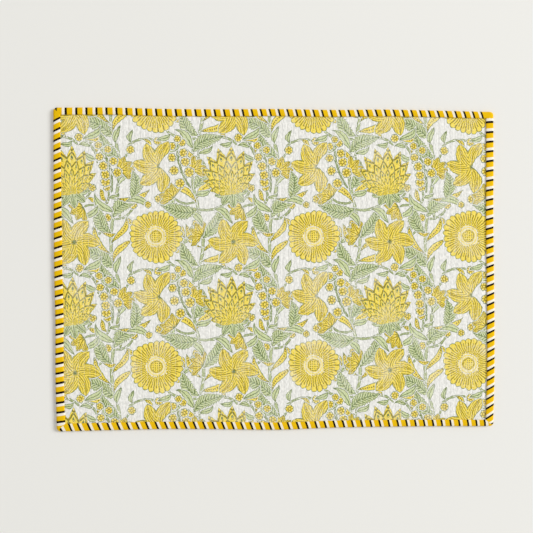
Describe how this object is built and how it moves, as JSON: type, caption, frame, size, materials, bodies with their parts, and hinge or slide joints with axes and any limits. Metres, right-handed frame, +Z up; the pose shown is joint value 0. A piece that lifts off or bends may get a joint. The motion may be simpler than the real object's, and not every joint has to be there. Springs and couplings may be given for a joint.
{
  "type": "fabric placemat",
  "caption": "Rectangular channel-quilted cotton placemat with a block-printed floral face and a striped binding folded over all four edges.",
  "frame": {"origin": "middle of the mat, on the surface that it lies on", "axes": "+X along the long sides, +Y along the quilted channels, +Z up out of the printed face"},
  "size_m": [0.4824, 0.3513, 0.0036],
  "materials": {
    "printed_cotton": "matt block-printed cotton",
    "binding_cloth": "matt woven stripe"
  },
  "bodies": {
    "root": {"quilted_panel": "printed_cotton", "striped_binding": "binding_cloth"}
  },
  "joints": []
}
